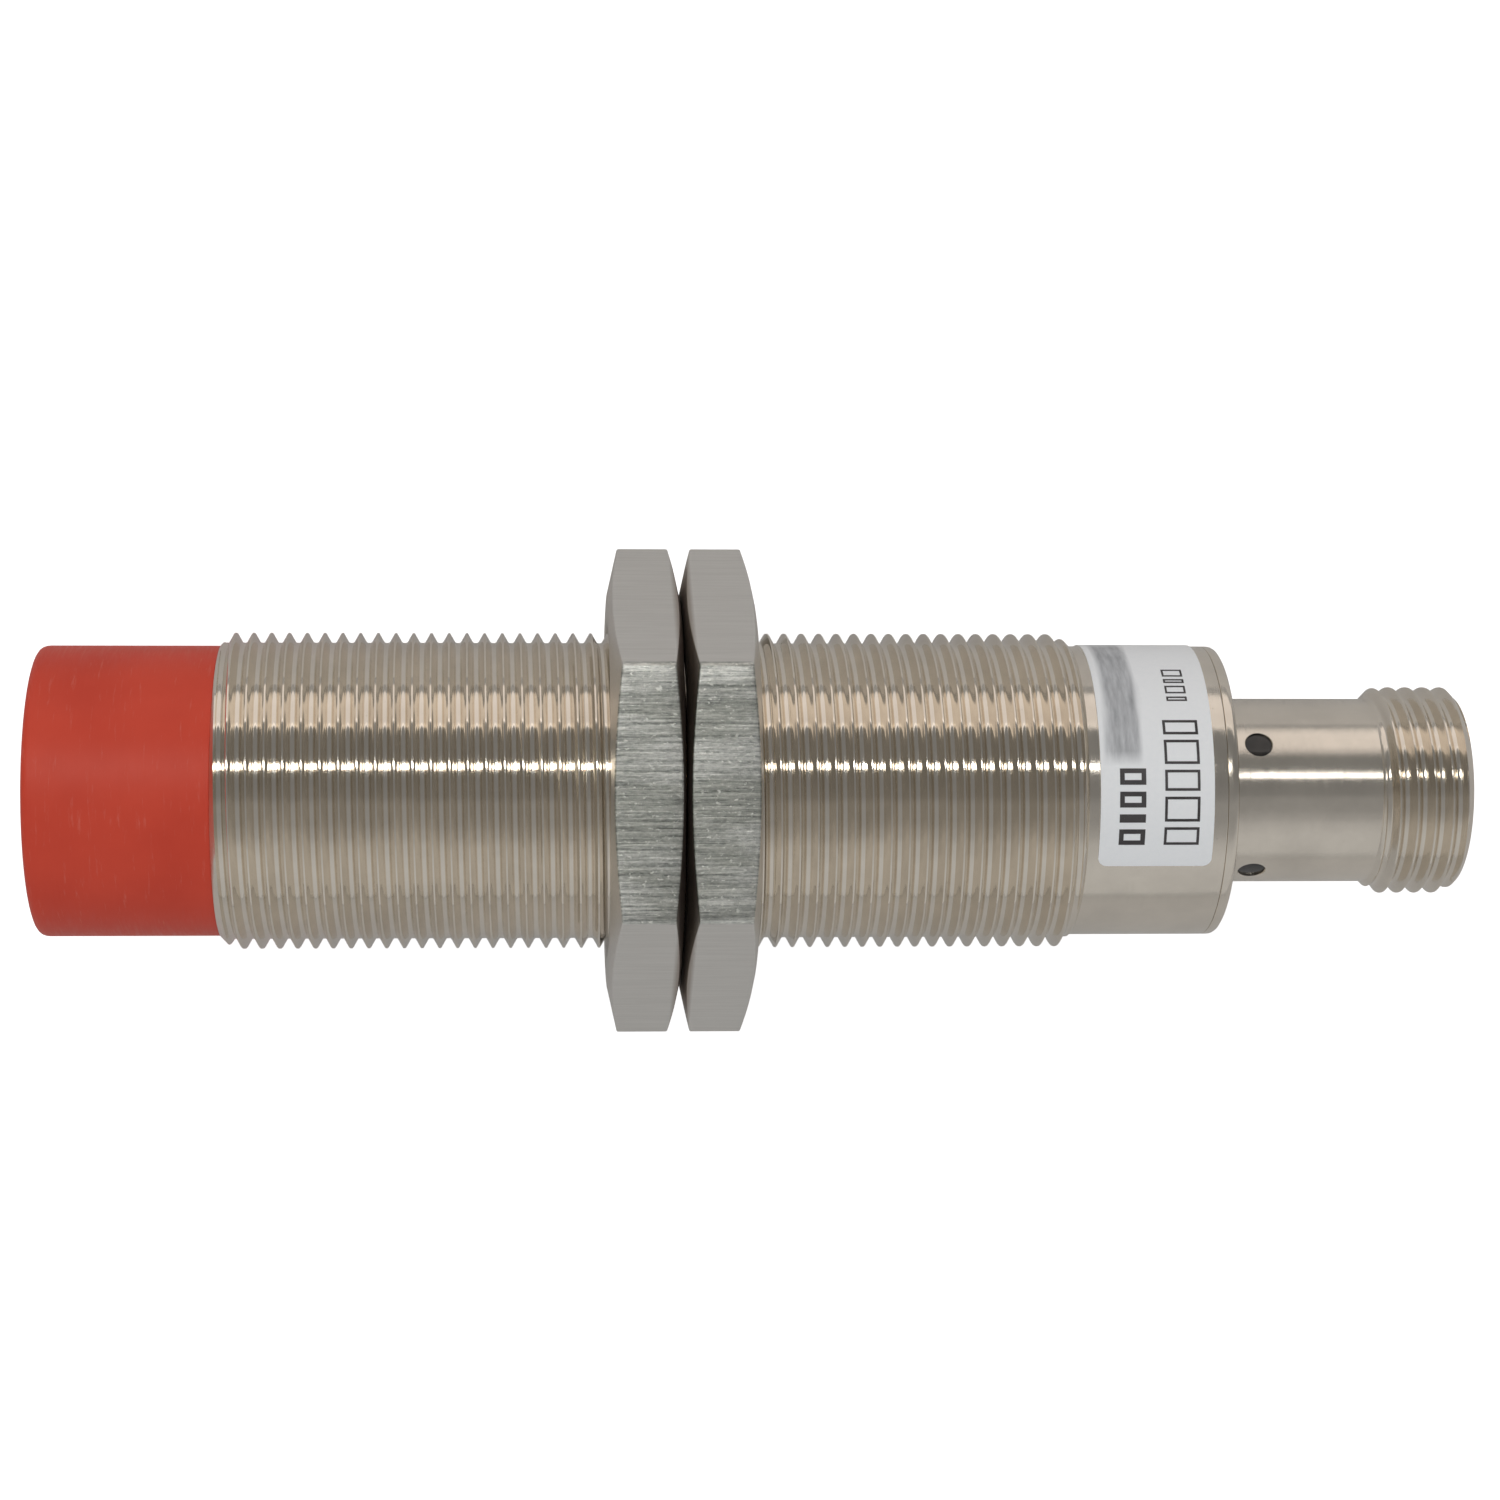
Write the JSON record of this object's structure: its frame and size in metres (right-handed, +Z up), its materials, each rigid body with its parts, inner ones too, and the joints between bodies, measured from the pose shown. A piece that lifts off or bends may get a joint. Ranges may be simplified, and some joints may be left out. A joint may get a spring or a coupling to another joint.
{
  "type": "cylindrical proximity sensor",
  "caption": "Cylindrical proximity sensor with a threaded metal barrel, long red plastic cap, hex lock nuts and a threaded plug connector end.",
  "frame": {"origin": "on the sensor's axis at the centre of the flat sensing face of the front cap", "axes": "+X along the axis from the sensing face to the connector end, +Z up, square to the two nut flats that face up and down, +Y to the left when looking along +X"},
  "size_m": [0.0804, 0.0274, 0.024],
  "materials": {
    "nickel_barrel": "nickel plated, turned",
    "nickel_nut": "nickel plated, matte faces",
    "red_plastic": "moulded red, satin",
    "smoked_window": "smoked clear",
    "label_film": "white film, satin",
    "black_plastic": "moulded black",
    "gold_contact": "gold plated",
    "ferrite": "dull dark grey",
    "bobbin_plastic": "moulded natural",
    "copper_wire": "enamelled copper",
    "board_laminate": "solder mask green",
    "chip_black": "moulded epoxy",
    "tantalum_yellow": "moulded yellow",
    "resistor_black": "black with tinned ends",
    "ceramic_tan": "ceramic with tinned ends",
    "led_clear": "clear yellow",
    "wire_brown": "insulation",
    "wire_white": "insulation",
    "wire_blue": "insulation",
    "wire_black": "insulation",
    "sleeve_film": "thin film",
    "resin": "cast resin",
    "seal_rubber": "moulded rubber"
  },
  "bodies": {
    "sensor": {"housing": "nickel_barrel", "front_cap": "red_plastic", "end_bush": "nickel_barrel", "connector_shell": "nickel_barrel", "light_guide": "smoked_window", "label": "label_film", "pin_carrier": "black_plastic", "coding_key": "black_plastic", "contact_pin_1": "gold_contact", "contact_pin_2": "gold_contact", "contact_pin_3": "gold_contact", "contact_pin_4": "gold_contact", "ferrite_core": "ferrite", "coil_bobbin": "bobbin_plastic", "coil_winding": "copper_wire", "coil_lead_start": "copper_wire", "coil_lead_end": "copper_wire", "circuit_board": "board_laminate", "oscillator_chip": "chip_black", "comparator_chip": "chip_black", "output_transistor": "chip_black", "voltage_regulator": "chip_black", "tantalum_capacitor": "tantalum_yellow", "protection_diodes": "chip_black", "smd_resistors": "resistor_black", "smd_capacitors": "ceramic_tan", "status_leds": "led_clear", "hookup_wire_brown": "wire_brown", "hookup_wire_white": "wire_white", "hookup_wire_blue": "wire_blue", "hookup_wire_black": "wire_black", "insulating_sleeve": "sleeve_film", "potting_compound": "resin", "shell_o_ring": "seal_rubber", "carrier_o_ring": "seal_rubber"},
    "front_nut": {"nut_front": "nickel_nut"},
    "rear_nut": {"nut_rear": "nickel_nut"}
  },
  "joints": [
    {"name": "nut_front_travel", "type": "slide", "parent": "sensor", "child": "front_nut", "axis": [-1, 0, 0], "range_m": [0, 0.0209]},
    {"name": "nut_rear_travel", "type": "slide", "parent": "sensor", "child": "rear_nut", "axis": [1, 0, 0], "range_m": [0, 0.0175]}
  ]
}
